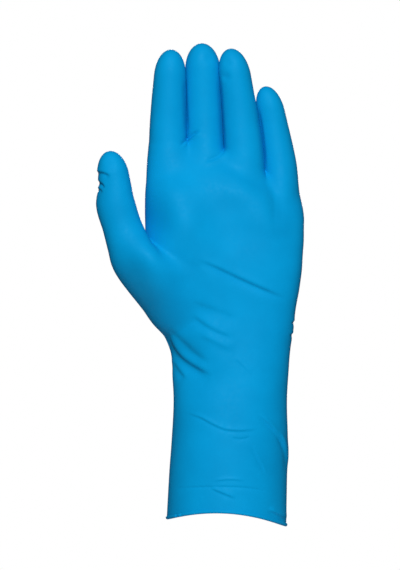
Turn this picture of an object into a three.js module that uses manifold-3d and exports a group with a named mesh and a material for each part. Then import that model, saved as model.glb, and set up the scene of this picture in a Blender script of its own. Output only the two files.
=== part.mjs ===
// A long-cuffed latex glove in the shape it takes when worn: one dipped film with five closed
// fingers, open at the mouth of its cuff. It is a left glove seen from the palm.
// Units are millimetres. +Z runs from the mouth of the cuff up to the fingertips, the palm faces
// -Y and the thumb is at -X. The origin is the middle of the mouth.
import * as THREE from "three";
import { mergeVertices } from "three/addons/utils/BufferGeometryUtils.js";
import Module from "manifold-3d";

// The film, and the rolled bead round the mouth.
const WALL = 1.0;
const BEAD_BULGE = 0.6;
const BEAD_HEIGHT = 2.2;

// The sleeve runs from the mouth to the wrist, and the palm from the wrist to the first web.
const CUFF_LENGTH = 106;
const PALM_LENGTH = 131;
const MOUTH = { width: 74, depth: 56 };
const WRIST = { width: 75, depth: 45 };
const PALM = { width: 98, depth: 34 };

// The mouth isn't level: its thumb side is higher, and its front and back arch up.
const MOUTH_SLANT = 2.2;
const MOUTH_ARCH = 6.5;
const MOUTH_ARCH_MIDDLE = 0.25;
const MOUTH_LEVELS_OUT = 45;

// The webs between the fingers drop away towards the little finger.
const WEB_DROP = 19;
const WEB_DROP_FROM = -0.306;
const WEB_DROP_AT = 0.235;
const WEB_DROP_STARTS = 1.3;
const WEB_DROP_MOST = 1.12;

// Finger lengths from the knuckle to the tip, and the thumb's reach from its root in the heel.
const INDEX_LENGTH = 102;
const MIDDLE_LENGTH = 104;
const RING_LENGTH = 106.5;
const LITTLE_LENGTH = 95;
const THUMB_WIDTH = 28;
const THUMB_REACH = { across: 46.4, up: 108.6, forward: 8 };

// Finesse of the faceted model. WEB_RINGS are the close ones at the top of the palm.
const BODY_SIDES = 44;
const LIMB_SIDES = 14;
const CUFF_RINGS = 10;
const PALM_RINGS = 16;
const WEB_RINGS = 6;
const WEB_RINGS_START = 1.85;
const FINGER_RINGS = 10;
const THUMB_RINGS = 12;
const LAST_RING = 0.97;
const FOLD_SIDES = 8;
const FOLD_RINGS = 8;
const BEAD_RINGS = 4;
const PALM_SIDE_CROWDING = 0.15;
const EDGE_OF_FRONT = 0.98;
const SAME_POINT = 1e-4;

// How far the hollow is cut past the mouth.
const MOUTH_OVERCUT = 4;

// Sections of sleeve and palm. at: 0 mouth, 1 wrist, 2 first web. of: the size that the row follows.
// thumbEdge and littleEdge are shares of its width, palmFace and backFace of its depth.
const BODY_SECTIONS = [
  { at: 0.0, of: MOUTH, thumbEdge: 0.504, littleEdge: 0.498, palmFace: 0.5, backFace: 0.5, square: 2.0 },
  { at: 0.29, of: MOUTH, thumbEdge: 0.481, littleEdge: 0.506, palmFace: 0.482, backFace: 0.482, square: 2.0 },
  { at: 0.47, of: MOUTH, thumbEdge: 0.462, littleEdge: 0.512, palmFace: 0.464, backFace: 0.464, square: 2.0 },
  { at: 0.7, of: WRIST, thumbEdge: 0.44, littleEdge: 0.498, palmFace: 0.533, backFace: 0.53, square: 2.1 },
  { at: 0.88, of: WRIST, thumbEdge: 0.455, littleEdge: 0.512, palmFace: 0.5, backFace: 0.49, square: 2.2 },
  { at: 1.0, of: WRIST, thumbEdge: 0.473, littleEdge: 0.526, palmFace: 0.49, backFace: 0.465, square: 2.25 },
  { at: 1.094, of: PALM, thumbEdge: 0.4, littleEdge: 0.422, palmFace: 0.655, backFace: 0.585, square: 2.3 },
  { at: 1.19, of: PALM, thumbEdge: 0.44, littleEdge: 0.436, palmFace: 0.69, backFace: 0.56, square: 2.35 },
  { at: 1.285, of: PALM, thumbEdge: 0.47, littleEdge: 0.459, palmFace: 0.71, backFace: 0.53, square: 2.4 },
  { at: 1.38, of: PALM, thumbEdge: 0.5, littleEdge: 0.475, palmFace: 0.695, backFace: 0.515, square: 2.4 },
  { at: 1.476, of: PALM, thumbEdge: 0.522, littleEdge: 0.481, palmFace: 0.66, backFace: 0.5, square: 2.4 },
  { at: 1.57, of: PALM, thumbEdge: 0.53, littleEdge: 0.487, palmFace: 0.61, backFace: 0.485, square: 2.4 },
  { at: 1.667, of: PALM, thumbEdge: 0.524, littleEdge: 0.487, palmFace: 0.55, backFace: 0.46, square: 2.45 },
  { at: 1.763, of: PALM, thumbEdge: 0.517, littleEdge: 0.485, palmFace: 0.485, backFace: 0.44, square: 2.5 },
  { at: 1.859, of: PALM, thumbEdge: 0.497, littleEdge: 0.468, palmFace: 0.42, backFace: 0.39, square: 2.7 },
  { at: 1.94, of: PALM, thumbEdge: 0.475, littleEdge: 0.43, palmFace: 0.345, backFace: 0.31, square: 2.8 },
  { at: 1.989, of: PALM, thumbEdge: 0.45, littleEdge: 0.38, palmFace: 0.25, backFace: 0.19, square: 2.8 },
  { at: 2.01, of: PALM, thumbEdge: 0.41, littleEdge: 0.34, palmFace: 0.13, backFace: 0.07, square: 2.7 },
];

// Pads and hollows of the hand inside. across and its spread are shares of the palm's width from
// the middle, up and its spread shares of the palm's length, and rise is a share of its depth.
const PALM_RELIEF = [
  { name: "thenar", across: -0.3, up: 0.36, spreadAcross: 0.13, spreadUp: 0.17, rise: 0.15 },
  { name: "hypothenar", across: 0.3, up: 0.34, spreadAcross: 0.13, spreadUp: 0.2, rise: 0.1 },
  { name: "hollow", across: -0.02, up: 0.55, spreadAcross: 0.17, spreadUp: 0.17, rise: -0.14 },
  { name: "index_pad", across: -0.34, up: 0.76, spreadAcross: 0.12, spreadUp: 0.075, rise: 0.08 },
  { name: "middle_pad", across: -0.1, up: 0.77, spreadAcross: 0.1, spreadUp: 0.07, rise: 0.06 },
  { name: "ring_pad", across: 0.12, up: 0.75, spreadAcross: 0.1, spreadUp: 0.07, rise: 0.06 },
  { name: "little_pad", across: 0.33, up: 0.68, spreadAcross: 0.1, spreadUp: 0.08, rise: 0.05 },
];
const BACK_RELIEF = [
  { name: "hand_back", across: -0.05, up: 0.45, spreadAcross: 0.25, spreadUp: 0.25, rise: 0.05 },
  { name: "wrist_bone", across: 0.22, up: -0.02, spreadAcross: 0.1, spreadUp: 0.08, rise: 0.08 },
];

// Fingers, from the knuckle buried in the palm to the tip. root, web and tip place the spine across
// as shares of the palm's width, and the three backs behind the palm's plane as shares of its depth.
// rootUp is a share of the palm's length and width one of its width, so that the fingers stay side
// by side. base, middle and end are shares of the finger's width on the way up, flat is its depth
// over its width, and dome the length of its rounded tip over its width.
const FINGERS = [
  { name: "index", length: INDEX_LENGTH, rootUp: 0.64, root: -0.364, web: -0.373, tip: -0.353,
    rootBack: 0.03, webBack: 0.0, tipBack: -0.12,
    width: 0.232, base: 1.0, middle: 0.93, end: 0.845, flat: 0.9, dome: 0.73 },
  { name: "middle", length: MIDDLE_LENGTH, rootUp: 0.655, root: -0.129, web: -0.139, tip: -0.157,
    rootBack: 0.13, webBack: 0.12, tipBack: -0.01,
    width: 0.234, base: 1.0, middle: 0.99, end: 0.925, flat: 0.9, dome: 0.72 },
  { name: "ring", length: RING_LENGTH, rootUp: 0.61, root: 0.128, web: 0.1055, tip: 0.028,
    rootBack: 0.08, webBack: -0.01, tipBack: -0.14,
    width: 0.2335, base: 1.0, middle: 0.91, end: 0.845, flat: 0.88, dome: 0.72 },
  { name: "little", length: LITTLE_LENGTH, rootUp: 0.52, root: 0.315, web: 0.339, tip: 0.249,
    rootBack: 0.14, webBack: 0.14, tipBack: 0.01,
    width: 0.212, base: 1.0, middle: 0.875, end: 0.81, flat: 0.88, dome: 0.72 },
];
const WEB_AT = 0.45;
const MIDDLE_AT = 0.68;
const END_AT = 0.86;
const KNUCKLE = { at: 0.25, root: 0.35, width: 1.0, depth: 1.12 };

// Near the webs the palm's front and back follow the fingers, a little inside them.
const LOBES = { front: 1.82, back: 1.78, full: 1.93, fade: 1.97, gone: 2.01, inside: 0.95, valley: 0.3 };

// Thumb stations from the root in the heel of the hand. across, up and forward are shares of
// THUMB_REACH, and width and depth shares of the thumb's width.
const THUMB_ROOT = { across: -0.268, up: 0.11, forward: 0.3 };
const THUMB_DOME = 0.55;
const THUMB_STATIONS = [
  { across: 0.0, up: 0.0, forward: 0.0, width: 0.6, depth: 0.5 },
  { across: 0.13, up: 0.085, forward: 0.15, width: 1.02, depth: 0.86 },
  { across: 0.28, up: 0.18, forward: 0.35, width: 1.12, depth: 0.97 },
  { across: 0.5, up: 0.295, forward: 0.6, width: 1.12, depth: 0.97 },
  { across: 0.66, up: 0.384, forward: 0.7, width: 1.07, depth: 0.93 },
  { across: 0.744, up: 0.465, forward: 0.75, width: 0.97, depth: 0.88 },
  { across: 0.832, up: 0.575, forward: 0.8, width: 0.895, depth: 0.82 },
  { across: 0.915, up: 0.692, forward: 0.86, width: 0.87, depth: 0.76 },
  { across: 0.925, up: 0.777, forward: 0.9, width: 0.76, depth: 0.7 },
  { across: 0.935, up: 0.834, forward: 0.93, width: 0.7, depth: 0.66 },
  { across: 0.965, up: 0.9, forward: 0.96, width: 0.69, depth: 0.64 },
  { across: 1.0, up: 1.0, forward: 1.0, width: 0.69, depth: 0.62 },
];

// Folds pulled into the palm side of the film. across and up as for the relief, and the radius of
// the fold and how deep it sinks as shares of the wall.
const FOLDS = [
  { name: "palm_fold", from: { across: -0.138, up: 0.414 }, to: { across: 0.36, up: 0.25 },
    radius: 3.4, sink: 1.5 },
  { name: "heel_fold", from: { across: -0.245, up: 0.276 }, to: { across: 0.1, up: 0.144 },
    radius: 4.5, sink: 0.7 },
  { name: "thenar_fold", from: { across: -0.22, up: 0.165 }, to: { across: -0.04, up: 0.06 },
    radius: 3.5, sink: 0.9 },
  { name: "wrist_fold", from: { across: -0.35, up: 0.01 }, to: { across: -0.2, up: -0.1 },
    radius: 4.5, sink: 1.8 },
  { name: "cuff_fold", from: { across: 0.2, up: -0.31 }, to: { across: 0.35, up: -0.46 },
    radius: 3.2, sink: 1.0 },
];

const LATEX = new THREE.MeshStandardMaterial({ color: 0x0a92d2, roughness: 0.48, metalness: 0 });

const lerp = THREE.MathUtils.lerp;
const clamp = THREE.MathUtils.clamp;
const smoothstep = THREE.MathUtils.smoothstep;

// A smooth curve through one column of a table whose rows are in order of at.
function column(rows, valueOf) {
  const value = rows.map(valueOf);
  const slope = rows.map((row, i) => {
    const a = Math.max(i - 1, 0);
    const b = Math.min(i + 1, rows.length - 1);
    return (value[b] - value[a]) / (rows[b].at - rows[a].at);
  });
  return (at) => {
    const i = clamp(rows.findIndex((row) => row.at > at) - 1, 0, rows.length - 2);
    const k = at >= rows[rows.length - 1].at ? rows.length - 2 : i;
    const span = rows[k + 1].at - rows[k].at;
    const t = clamp((at - rows[k].at) / span, 0, 1);
    const t2 = t * t;
    const t3 = t2 * t;
    return (2 * t3 - 3 * t2 + 1) * value[k] + (t3 - 2 * t2 + t) * span * slope[k]
      + (3 * t2 - 2 * t3) * value[k + 1] + (t3 - t2) * span * slope[k + 1];
  };
}

const thumbEdge = column(BODY_SECTIONS, (row) => -row.thumbEdge * row.of.width);
const littleEdge = column(BODY_SECTIONS, (row) => row.littleEdge * row.of.width);
const palmFace = column(BODY_SECTIONS, (row) => -row.palmFace * row.of.depth);
const backFace = column(BODY_SECTIONS, (row) => row.backFace * row.of.depth);
const squareness = column(BODY_SECTIONS, (row) => row.square);

const heightOf = (at) => (at < 1 ? at * CUFF_LENGTH : CUFF_LENGTH + (at - 1) * PALM_LENGTH);
function atOf(height) {
  return height < CUFF_LENGTH ? height / CUFF_LENGTH : 1 + (height - CUFF_LENGTH) / PALM_LENGTH;
}

const power = (value, exponent) => Math.sign(value) * Math.abs(value) ** exponent;

// How far pads and hollows lift the palm or back at one place.
function relief(table, x, z) {
  const up = (z - CUFF_LENGTH) / PALM_LENGTH;
  return table.reduce((sum, pad) => {
    const a = (x / PALM.width - pad.across) / pad.spreadAcross;
    const b = (up - pad.up) / pad.spreadUp;
    return sum + pad.rise * PALM.depth * Math.exp(-(a * a + b * b) / 2);
  }, 0);
}

// The body's surface at one height and angle. Angle 0 is the little finger's side, 90 the back.
function bodyPoint(at, angle) {
  const cos = Math.cos(angle);
  const sin = Math.sin(angle);
  const round = 2 / squareness(at);
  const halfWidth = (littleEdge(at) - thumbEdge(at)) / 2;
  const halfDepth = (backFace(at) - palmFace(at)) / 2;
  const x = (littleEdge(at) + thumbEdge(at)) / 2 + halfWidth * power(cos, round);
  let y = (backFace(at) + palmFace(at)) / 2 + halfDepth * power(sin, round);
  let z = heightOf(at);
  y += sin * relief(sin < 0 ? PALM_RELIEF : BACK_RELIEF, x, z);
  const drop = webDrop(x) * smoothstep(at, WEB_DROP_STARTS, 2);
  const lobed = smoothstep(at, sin < 0 ? LOBES.front : LOBES.back, LOBES.full);
  const fading = smoothstep(at, LOBES.fade, LOBES.gone);
  y = lerp(y, sin * fingerFace(x, z - drop, Math.sign(sin)), lobed * (1 - fading));
  z += mouthRise(cos, sin) * (1 - smoothstep(z, 0, MOUTH_LEVELS_OUT));
  return new THREE.Vector3(x, y, z - drop);
}

// How far the fingers reach to one side, back or front, at one place across and up.
function fingerFace(x, z, side) {
  const reach = fingerPlans.map(({ spine, halfWidth, halfDepth, rootHeight, length }) => {
    const t = clamp((z - rootHeight) / length, KNUCKLE.at, WEB_AT);
    const centre = spine(t);
    const u = (x - centre.x) / halfWidth(t);
    return side * centre.y + halfDepth(t) * LOBES.inside * Math.sqrt(Math.max(1 - u * u, LOBES.valley));
  });
  return Math.max(...reach);
}

function mouthRise(cos, sin) {
  return MOUTH_ARCH * (sin * sin - MOUTH_ARCH_MIDDLE) - MOUTH_SLANT * cos;
}

function webDrop(x) {
  const share = (x / PALM.width - WEB_DROP_FROM) / (WEB_DROP_AT - WEB_DROP_FROM);
  return WEB_DROP * clamp(share, 0, WEB_DROP_MOST) ** 2;
}

// The front of the palm under a point given across and up, for laying folds on it.
function palmPoint({ across, up }) {
  const x = across * PALM.width;
  const z = CUFF_LENGTH + up * PALM_LENGTH;
  const at = atOf(z + webDrop(x) * smoothstep(atOf(z), WEB_DROP_STARTS, 2));
  const middle = (littleEdge(at) + thumbEdge(at)) / 2;
  const halfWidth = (littleEdge(at) - thumbEdge(at)) / 2;
  const cos = power(clamp((x - middle) / halfWidth, -EDGE_OF_FRONT, EDGE_OF_FRONT), squareness(at) / 2);
  return bodyPoint(at, -Math.acos(cos));
}

// A tube through rings of points, each ring the same way round, with no ends.
function tube(rings) {
  const sides = rings[0].length;
  const faces = [];
  for (let i = 0; i + 1 < rings.length; i++) {
    for (let j = 0; j < sides; j++) {
      const a = i * sides + j;
      const b = i * sides + ((j + 1) % sides);
      faces.push(a, b, b + sides, a, b + sides, a + sides);
    }
  }
  return { points: rings.flat(), faces, sides };
}

// The hollow stops one ring short of the webs, so that the film is whole over them.
function withoutTopRing({ points, faces, sides }) {
  return { points: points.slice(0, -sides), faces: faces.slice(0, -6 * sides), sides };
}

function middleOf(points) {
  const sum = points.reduce((total, p) => total.add(p), new THREE.Vector3());
  return sum.divideScalar(points.length);
}

// Closes both ends of a tube with fans. The far end may rise to a given tip.
function closed({ points, faces, sides }, tip) {
  const low = points.length;
  const high = low + 1;
  const last = low - sides;
  const ends = [middleOf(points.slice(0, sides)), tip ?? middleOf(points.slice(last))];
  const caps = [];
  for (let j = 0; j < sides; j++) {
    const k = (j + 1) % sides;
    caps.push(low, k, j, high, last + j, last + k);
  }
  return { points: [...points, ...ends], faces: [...faces, ...caps] };
}

function geometryOf({ points, faces }) {
  const geometry = new THREE.BufferGeometry().setFromPoints(points);
  geometry.setIndex(faces);
  return geometry;
}

// The same tube moved inwards along its own normals.
function shrunk(shape, by) {
  const geometry = geometryOf(shape);
  geometry.computeVertexNormals();
  const normals = geometry.getAttribute("normal");
  const points = shape.points.map((p, i) => {
    const normal = new THREE.Vector3().fromBufferAttribute(normals, i);
    return p.clone().addScaledVector(normal, -by);
  });
  return { ...shape, points };
}

const wasm = await Module();
wasm.setup();

function solidOf(shape) {
  const geometry = geometryOf(shape);
  const merged = mergeVertices(geometry, SAME_POINT);
  return new wasm.Manifold(new wasm.Mesh({
    numProp: 3,
    vertProperties: merged.getAttribute("position").array,
    triVerts: new Uint32Array(merged.index.array),
  }));
}

const spread = (from, to, count) => Array.from({ length: count + 1 }, (_, i) => lerp(from, to, i / count));

// The body's angles crowd together on the palm side, where the pads and folds are.
function bodyAngles() {
  return Array.from({ length: BODY_SIDES }, (_, j) => {
    const turn = (2 * Math.PI * j) / BODY_SIDES;
    return turn - PALM_SIDE_CROWDING * Math.cos(turn);
  });
}

function bodyTube() {
  const top = BODY_SECTIONS[BODY_SECTIONS.length - 1].at;
  const heights = [
    ...spread(0, 1, CUFF_RINGS),
    ...spread(1, WEB_RINGS_START, PALM_RINGS).slice(1),
    ...spread(WEB_RINGS_START, top, WEB_RINGS).slice(1),
  ];
  return tube(heights.map((at) => bodyAngles().map((angle) => bodyPoint(at, angle))));
}

// The rolled bead, a half round band outside the mouth.
function beadTube() {
  return tube(spread(0, 1, BEAD_RINGS).map((share) => bodyAngles().map((angle) => {
    const p = bodyPoint(0, angle);
    const out = BEAD_BULGE * Math.sin(Math.PI * share);
    const size = Math.hypot(p.x, p.y);
    p.x *= 1 + out / size;
    p.y *= 1 + out / size;
    p.z += share * BEAD_HEIGHT;
    return p;
  })));
}

function ellipse(centre, axisA, radiusA, axisB, radiusB, sides) {
  return Array.from({ length: sides }, (_, j) => {
    const turn = (2 * Math.PI * j) / sides;
    const p = centre.clone().addScaledVector(axisA, radiusA * Math.cos(turn));
    return p.addScaledVector(axisB, radiusB * Math.sin(turn));
  });
}

// One ring of a finger or thumb, square to its spine.
function limbRing(centre, along, halfWidth, halfDepth) {
  const across = new THREE.Vector3(along.z, 0, -along.x).normalize();
  const back = new THREE.Vector3().crossVectors(along, across).normalize();
  return ellipse(centre, across, halfWidth, back, halfDepth, LIMB_SIDES);
}

// Half sizes fall off as an ellipse over the last dome of the length.
function domed(left, dome) {
  return left >= dome ? 1 : Math.sqrt(Math.max(1 - (1 - left / dome) ** 2, 0));
}

function fingerPlan(finger) {
  const rootHeight = CUFF_LENGTH + finger.rootUp * PALM_LENGTH;
  const stops = [
    { at: 0, across: finger.root, back: finger.rootBack },
    { at: WEB_AT, across: finger.web, back: finger.webBack },
    { at: 1, across: finger.tip, back: finger.tipBack },
  ];
  const across = column(stops, (stop) => stop.across * PALM.width);
  const back = column(stops, (stop) => stop.back * PALM.depth);
  const spine = (t) => new THREE.Vector3(across(t), back(t), rootHeight + t * finger.length);
  const shares = [
    { at: 0, share: KNUCKLE.root },
    { at: KNUCKLE.at, share: KNUCKLE.width },
    { at: WEB_AT, share: finger.base },
    { at: MIDDLE_AT, share: finger.middle },
    { at: END_AT, share: finger.end },
    { at: 1, share: finger.end },
  ];
  const half = (finger.width * PALM.width) / 2;
  const share = column(shares, (row) => row.share * half);
  const dome = (t) => domed((1 - t) * finger.length, finger.dome * 2 * half);
  const halfWidth = (t) => share(t) * dome(t);
  const knuckle = (t) => lerp(KNUCKLE.depth, 1, smoothstep(t, KNUCKLE.at, WEB_AT));
  const halfDepth = (t) => halfWidth(t) * finger.flat * knuckle(t);
  return { spine, halfWidth, halfDepth, tip: spine(1), rootHeight, length: finger.length };
}

function thumbPlan() {
  const rows = THUMB_STATIONS.map((row) => ({ ...row, at: row.up }));
  const root = new THREE.Vector3(THUMB_ROOT.across * PALM.width, -THUMB_ROOT.forward * PALM.depth,
    CUFF_LENGTH + THUMB_ROOT.up * PALM_LENGTH);
  const across = column(rows, (row) => row.across * THUMB_REACH.across);
  const forward = column(rows, (row) => row.forward * THUMB_REACH.forward);
  const width = column(rows, (row) => (row.width * THUMB_WIDTH) / 2);
  const depth = column(rows, (row) => (row.depth * THUMB_WIDTH) / 2);
  const spine = (t) => root.clone().add(new THREE.Vector3(-across(t), -forward(t), t * THUMB_REACH.up));
  const dome = (t) => domed((1 - t) * THUMB_REACH.up, THUMB_DOME * THUMB_WIDTH);
  const halfWidth = (t) => width(t) * dome(t);
  const halfDepth = (t) => depth(t) * dome(t);
  return { spine, halfWidth, halfDepth, tip: spine(1) };
}

function alongOf(spine, t) {
  const step = 0.01;
  return spine(Math.min(t + step, 1)).sub(spine(Math.max(t - step, 0))).normalize();
}

// Rings crowd towards the tip, where the limb rounds off.
function limbTube(plan, count) {
  const rings = Array.from({ length: count }, (_, i) => {
    const t = Math.sin((LAST_RING * Math.PI * i) / (2 * (count - 1)));
    return limbRing(plan.spine(t), alongOf(plan.spine, t), plan.halfWidth(t), plan.halfDepth(t));
  });
  return tube(rings);
}

// A fold is a bowed rod laid on the film. It dents the outside by its sink, and the inside of the
// film follows at the wall's distance.
function foldTube(fold, allowance) {
  const radius = fold.radius * WALL;
  const sink = fold.sink * WALL;
  const onPalm = (t) => palmPoint({
    across: lerp(fold.from.across, fold.to.across, t),
    up: lerp(fold.from.up, fold.to.up, t),
  });
  const along = onPalm(1).sub(onPalm(0)).normalize();
  const rings = spread(0, 1, FOLD_RINGS).map((t) => {
    const swell = Math.sin(Math.PI * t);
    const foot = onPalm(t);
    const out = new THREE.Vector3(foot.x, foot.y, 0).normalize();
    const side = new THREE.Vector3().crossVectors(out, along).normalize();
    const centre = foot.addScaledVector(out, radius - sink * swell);
    return ellipse(centre, side, radius + allowance, out, radius + allowance, FOLD_SIDES);
  });
  return tube(rings);
}

const fingerPlans = FINGERS.map(fingerPlan);
const bodyOuter = bodyTube();
const bodyInner = shrunk(withoutTopRing(bodyOuter), WALL);
for (const p of bodyInner.points.slice(0, BODY_SIDES)) {
  p.z -= MOUTH_OVERCUT;
}

const thumb = thumbPlan();
const limbs = [
  ...fingerPlans.map((plan) => ({ plan, outer: limbTube(plan, FINGER_RINGS) })),
  { plan: thumb, outer: limbTube(thumb, THUMB_RINGS) },
];

let outside = solidOf(closed(bodyOuter)).add(solidOf(closed(beadTube())));
let inside = solidOf(closed(bodyInner));
for (const { plan, outer } of limbs) {
  const tipInside = plan.tip.clone().addScaledVector(alongOf(plan.spine, 1), -WALL);
  outside = outside.add(solidOf(closed(outer, plan.tip)));
  inside = inside.add(solidOf(closed(shrunk(outer, WALL), tipInside)));
}
for (const fold of FOLDS) {
  outside = outside.subtract(solidOf(closed(foldTube(fold, 0))));
  inside = inside.subtract(solidOf(closed(foldTube(fold, WALL))));
}
const film = outside.subtract(inside);

function meshOf(name, solid, material) {
  const { vertProperties, triVerts, numProp } = solid.getMesh();
  const geometry = new THREE.BufferGeometry();
  geometry.setAttribute("position", new THREE.BufferAttribute(vertProperties, numProp));
  geometry.setIndex(new THREE.BufferAttribute(triVerts, 1));
  const mesh = new THREE.Mesh(geometry, material);
  mesh.name = name;
  return mesh;
}

const glove = new THREE.Group();
glove.add(meshOf("glove", film, LATEX));

export default glove;
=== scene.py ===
"""A long-cuffed latex glove for Blender 4.5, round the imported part.

The film keeps the shape of the hand that it was made for. It is worked out as one smooth surface
from sections of the sleeve and palm, four fingers and a thumb, then folded, given an inner wall and
rolled into a bead round the mouth. The modelling is in millimetres and the finished mesh in metres.
"""

import bpy
import numpy as np
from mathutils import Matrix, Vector

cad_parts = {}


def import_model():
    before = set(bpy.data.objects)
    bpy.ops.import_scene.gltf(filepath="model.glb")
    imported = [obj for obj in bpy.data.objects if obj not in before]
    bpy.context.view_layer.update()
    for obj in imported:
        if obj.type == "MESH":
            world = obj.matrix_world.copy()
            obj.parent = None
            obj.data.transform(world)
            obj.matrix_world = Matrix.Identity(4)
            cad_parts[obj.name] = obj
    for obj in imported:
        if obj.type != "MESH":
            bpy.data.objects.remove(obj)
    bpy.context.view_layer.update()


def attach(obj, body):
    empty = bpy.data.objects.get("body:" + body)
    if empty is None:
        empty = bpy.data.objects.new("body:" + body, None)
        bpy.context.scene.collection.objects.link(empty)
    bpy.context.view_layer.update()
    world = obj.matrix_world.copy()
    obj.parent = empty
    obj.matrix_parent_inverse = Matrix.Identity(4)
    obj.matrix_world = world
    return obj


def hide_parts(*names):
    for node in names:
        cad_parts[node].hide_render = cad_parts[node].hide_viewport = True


MM = 0.001

# Small values that keep divisions safe.
TINY = 1e-9
LEAST_SLOPE = 1e-3
LEAST_SQUARE = 0.05
LEAST_NORMAL = 1e-12

# Driving sizes in millimetres. They are the part's, but the thumb's root lies 3.4 mm further back.
# Places and roots are shares of the palm's width, length and depth.
WALL = 1.0
CUFF_LENGTH = 106.0
PALM_LENGTH = 131.0
MOUTH = {"width": 74.0, "depth": 56.0}
WRIST = {"width": 75.0, "depth": 45.0}
PALM = {"width": 98.0, "depth": 34.0}
MOUTH_SLANT = 2.2
MOUTH_ARCH = 6.5
MOUTH_ARCH_MIDDLE = 0.25
MOUTH_LEVELS_OUT = 45.0
# The webs between the fingers drop away towards the little finger.
WEB_DROP = 19.0
WEB_DROP_FROM = -0.306
WEB_DROP_AT = 0.235
WEB_DROP_STARTS = 1.3
WEB_DROP_ENDS = 2.0
WEB_DROP_MOST = 1.12
WEB_DROP_ROUNDS = 4
# The reach is from the thumb's root in the heel of the hand to its tip.
THUMB_WIDTH = 28.0
THUMB_REACH = {"across": 46.4, "up": 108.6, "forward": 8.0}
THUMB_ROOT = {"across": -0.268, "up": 0.11, "forward": 0.2}
THUMB_DOME = 0.55

# Sections of sleeve and palm. at: 0 mouth, 1 wrist, 2 first web. The edges are shares of the
# width of the size named by "of", and the faces shares of its depth. The squareness is 2 for an
# ellipse, and differs between the thumb's half and the little finger's.
SECTION_COLUMNS = ("at", "of", "thumb_edge", "little_edge", "palm_face", "back_face", "thumb_square",
                   "little_square")
SECTIONS = [dict(zip(SECTION_COLUMNS, row)) for row in (
    (0.0, MOUTH, 0.504, 0.498, 0.5, 0.5, 2.0, 2.0),
    (0.29, MOUTH, 0.481, 0.506, 0.482, 0.482, 2.0, 2.0),
    (0.47, MOUTH, 0.462, 0.512, 0.464, 0.464, 2.0, 2.0),
    (0.7, WRIST, 0.44, 0.498, 0.533, 0.53, 2.05, 2.1),
    (0.88, WRIST, 0.455, 0.512, 0.5, 0.49, 2.1, 2.2),
    (1.0, WRIST, 0.473, 0.526, 0.46, 0.465, 2.1, 2.3),
    (1.094, PALM, 0.4, 0.422, 0.575, 0.585, 2.05, 2.45),
    (1.19, PALM, 0.44, 0.436, 0.56, 0.56, 2.0, 2.6),
    (1.285, PALM, 0.47, 0.459, 0.56, 0.53, 2.0, 2.7),
    (1.38, PALM, 0.498, 0.475, 0.565, 0.515, 2.0, 2.8),
    (1.476, PALM, 0.512, 0.481, 0.565, 0.5, 2.0, 2.8),
    (1.57, PALM, 0.516, 0.487, 0.555, 0.48, 2.1, 2.8),
    (1.667, PALM, 0.518, 0.488, 0.53, 0.45, 2.4, 2.8),
    (1.763, PALM, 0.514, 0.488, 0.455, 0.42, 2.7, 2.7),
    (1.859, PALM, 0.497, 0.472, 0.34, 0.37, 2.7, 2.7),
    (1.94, PALM, 0.475, 0.432, 0.18, 0.3, 2.7, 2.7),
    (2.03, PALM, 0.45, 0.38, 0.06, 0.2, 2.7, 2.7),
)]
PALM_TOP = 1.97
PALM_TOP_ROUNDING = 4.0
# Over this stretch the palm's front and back come to follow the fingers side by side.
FACES_FOLLOW = {"from": 1.5, "to": 1.95}

# Pads, hollows and knuckles of the filled palm and back, in shares of the palm's width, length and
# depth.
RELIEF_COLUMNS = ("across", "up", "spread_across", "spread_up", "rise")
PALM_RELIEF = [dict(zip(RELIEF_COLUMNS, row)) for row in (
    (-0.26, 0.42, 0.16, 0.17, 0.06),
    (-0.3, 0.07, 0.1, 0.12, -0.2),
    (0.3, 0.34, 0.15, 0.2, 0.03),
    (-0.05, 0.57, 0.2, 0.12, -0.05),
    (-0.35, 0.745, 0.12, 0.055, 0.13),
    (-0.08, 0.785, 0.12, 0.06, 0.06),
    (0.09, 0.83, 0.1, 0.055, 0.05),
    (0.32, 0.72, 0.1, 0.07, 0.03),
)]
BACK_RELIEF = [dict(zip(RELIEF_COLUMNS, row)) for row in (
    (-0.05, 0.45, 0.25, 0.25, 0.05),
    (0.22, -0.02, 0.1, 0.08, 0.08),
    (-0.34, 0.74, 0.055, 0.06, 0.07),
    (-0.11, 0.77, 0.055, 0.06, 0.08),
    (0.12, 0.74, 0.055, 0.06, 0.07),
    (0.33, 0.66, 0.05, 0.06, 0.06),
)]

# Fingers, from the knuckle buried in the palm to the tip. The length is in millimetres. The places
# across and the width are shares of the palm's width, the places behind shares of its depth, root_up
# a share of its length, and base, middle and end shares of the finger's width on the way up.
FINGER_COLUMNS = ("name", "length", "root_up", "root", "web", "tip", "root_back", "web_back",
                  "tip_back", "width", "base", "middle", "end", "flat", "dome")
FINGERS = [dict(zip(FINGER_COLUMNS, row)) for row in (
    ("index", 102.0, 0.64, -0.364, -0.373, -0.353, 0.03, 0.0,
     -0.12, 0.232, 1.0, 0.93, 0.845, 0.9, 0.73),
    ("middle", 104.0, 0.655, -0.129, -0.139, -0.157, 0.13, 0.12,
     -0.01, 0.234, 1.03, 0.99, 0.925, 0.9, 0.72),
    ("ring", 106.5, 0.61, 0.128, 0.1055, 0.028, 0.08, -0.01,
     -0.14, 0.2335, 1.04, 0.915, 0.845, 0.88, 0.72),
    ("little", 95.0, 0.52, 0.315, 0.339, 0.249, 0.14, 0.14,
     0.01, 0.212, 1.0, 0.875, 0.81, 0.88, 0.72),
)]
# Places on the way up a finger, and how wide and deep it is in the palm.
WEB_AT = 0.45
MIDDLE_AT = 0.68
END_AT = 0.86
KNUCKLE_AT = 0.25
KNUCKLE_ROOT = 0.35
KNUCKLE_DEPTH = 1.12
# How far a root rounds off inside the palm, and how softly a finger flows into it.
ROOT_ROUNDING = 12.0
FINGER_BLEND = 4.5
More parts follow.
